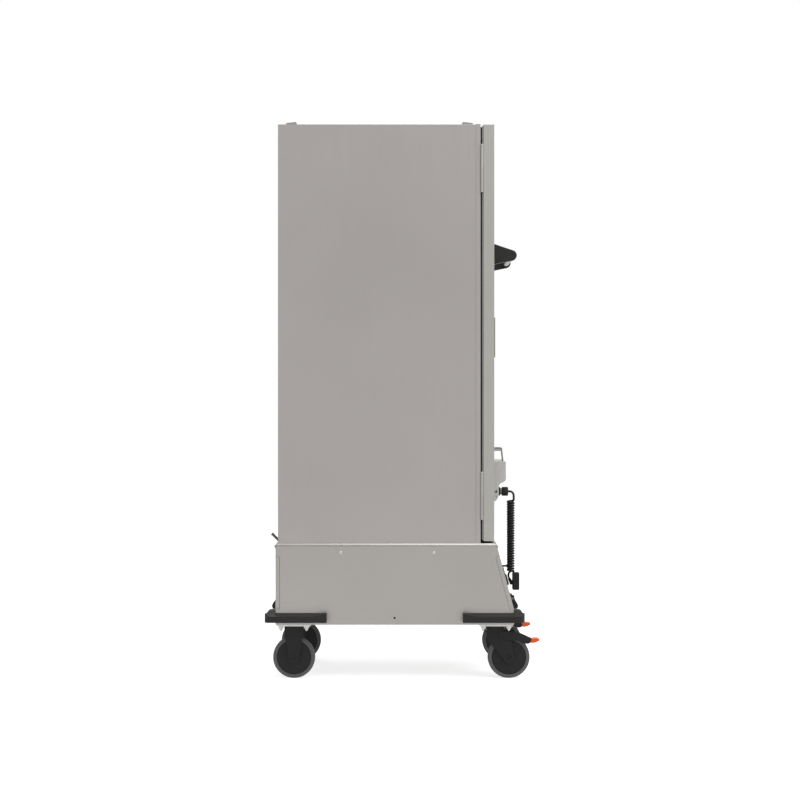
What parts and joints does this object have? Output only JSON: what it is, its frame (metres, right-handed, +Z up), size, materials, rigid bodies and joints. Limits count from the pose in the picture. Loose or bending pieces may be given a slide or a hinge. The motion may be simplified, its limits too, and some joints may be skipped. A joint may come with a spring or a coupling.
{
  "type": "enclosed meal tray cart",
  "caption": "Tall insulated tray cart on casters, with a side-hinged door, push bar, draw-out door heater with curly cord, sloped base and corner bumpers.",
  "frame": {"origin": "on the floor, under the middle of the cart's box", "axes": "+Z up, the door faces -Y, +X to the right of someone who faces the door"},
  "size_m": [0.568, 0.816, 1.6528],
  "materials": {
    "base_paint": "satin",
    "chassis_zinc": "zinc plated",
    "screw_zinc": "zinc plated",
    "axle_steel": "black oxide",
    "bumper_rubber": "matt, fine grained",
    "cabinet_paint": "satin",
    "mineral_wool": "fibrous",
    "liner_steel": "brushed",
    "pad_plastic": "matt",
    "spout_metal": "dull",
    "dock_plastic": "matt",
    "caster_plastic": "matt",
    "brake_orange": "matt",
    "tread_rubber": "matt",
    "gasket_rubber": "matt",
    "bracket_plastic": "matt",
    "bar_aluminium": "anodised",
    "card_plastic": "matt",
    "heater_steel": "satin",
    "gland_plastic": "matt",
    "cord_rubber": "matt",
    "plug_rubber": "matt"
  },
  "bodies": {
    "cart": {"base_side_left": "base_paint", "base_side_right": "base_paint", "base_front_cover": "base_paint", "base_rear_cover": "base_paint", "base_deck": "base_paint", "chassis": "chassis_zinc", "side_screws": "screw_zinc", "caster_bolts": "screw_zinc", "caster_plates": "screw_zinc", "hinge_pins": "screw_zinc", "rear_axles": "axle_steel", "centre_buffers": "bumper_rubber", "bumper_front_left": "bumper_rubber", "bumper_front_right": "bumper_rubber", "bumper_rear_left": "bumper_rubber", "bumper_rear_right": "bumper_rubber", "outer_shell": "cabinet_paint", "front_frame": "cabinet_paint", "hinge_body_halves": "cabinet_paint", "insulation": "mineral_wool", "inner_liner": "liner_steel", "rack_posts": "liner_steel", "rack_rails_left": "liner_steel", "rack_rails_right": "liner_steel", "roof_pads": "pad_plastic", "rear_spout": "spout_metal", "plug_dock": "dock_plastic", "rear_forks": "caster_plastic"},
    "door": {"door_skin": "cabinet_paint", "door_core": "mineral_wool", "door_liner": "liner_steel", "door_gasket": "gasket_rubber", "hinge_door_halves": "cabinet_paint", "push_bar_brackets": "bracket_plastic", "push_bar_tube": "bar_aluminium", "card_holder": "card_plastic"},
    "heater": {"heater_housing": "heater_steel", "heater_core": "heater_steel", "heater_bail": "heater_steel", "heater_gland": "gland_plastic", "cord_lead": "cord_rubber", "cord_coil": "cord_rubber", "cord_tail": "cord_rubber", "plug_body": "plug_rubber"},
    "caster_left": {"front_fork_left": "caster_plastic", "front_axle_left": "axle_steel"},
    "brake_left": {"brake_pedal_left": "caster_plastic", "pedal_tip_left": "brake_orange"},
    "wheel_front_left": {"wheel_core_front_left": "caster_plastic", "tyre_front_left": "tread_rubber"},
    "wheel_rear_left": {"wheel_core_rear_left": "caster_plastic", "tyre_rear_left": "tread_rubber"},
    "caster_right": {"front_fork_right": "caster_plastic", "front_axle_right": "axle_steel"},
    "brake_right": {"brake_pedal_right": "caster_plastic", "pedal_tip_right": "brake_orange"},
    "wheel_front_right": {"wheel_core_front_right": "caster_plastic", "tyre_front_right": "tread_rubber"},
    "wheel_rear_right": {"wheel_core_rear_right": "caster_plastic", "tyre_rear_right": "tread_rubber"}
  },
  "joints": [
    {"name": "door_hinge", "type": "hinge", "parent": "cart", "child": "door", "pos_m": [-0.2525, -0.23475, 1.03], "axis": [0, 0, -1], "range_deg": [0, 180]},
    {"name": "heater_slide", "type": "slide", "parent": "door", "child": "heater", "axis": [0, -1, 0], "range_m": [0, 0.1]},
    {"name": "swivel_left", "type": "hinge", "parent": "cart", "child": "caster_left", "pos_m": [-0.2, -0.277, 0.15], "axis": [0, 0, 1], "continuous": true},
    {"name": "spin_front_left", "type": "hinge", "parent": "caster_left", "child": "wheel_front_left", "pos_m": [-0.2, -0.316, 0.0625], "axis": [1, 0, 0], "continuous": true},
    {"name": "brake_left", "type": "hinge", "parent": "caster_left", "child": "brake_left", "pos_m": [-0.2, -0.296, 0.131], "axis": [1, 0, 0], "range_deg": [0, 8]},
    {"name": "spin_rear_left", "type": "hinge", "parent": "cart", "child": "wheel_rear_left", "pos_m": [-0.2, 0.324, 0.0625], "axis": [1, 0, 0], "continuous": true},
    {"name": "swivel_right", "type": "hinge", "parent": "cart", "child": "caster_right", "pos_m": [0.2, -0.277, 0.15], "axis": [0, 0, 1], "continuous": true},
    {"name": "spin_front_right", "type": "hinge", "parent": "caster_right", "child": "wheel_front_right", "pos_m": [0.2, -0.316, 0.0625], "axis": [1, 0, 0], "continuous": true},
    {"name": "brake_right", "type": "hinge", "parent": "caster_right", "child": "brake_right", "pos_m": [0.2, -0.296, 0.131], "axis": [1, 0, 0], "range_deg": [0, 8]},
    {"name": "spin_rear_right", "type": "hinge", "parent": "cart", "child": "wheel_rear_right", "pos_m": [0.2, 0.324, 0.0625], "axis": [1, 0, 0], "continuous": true}
  ]
}
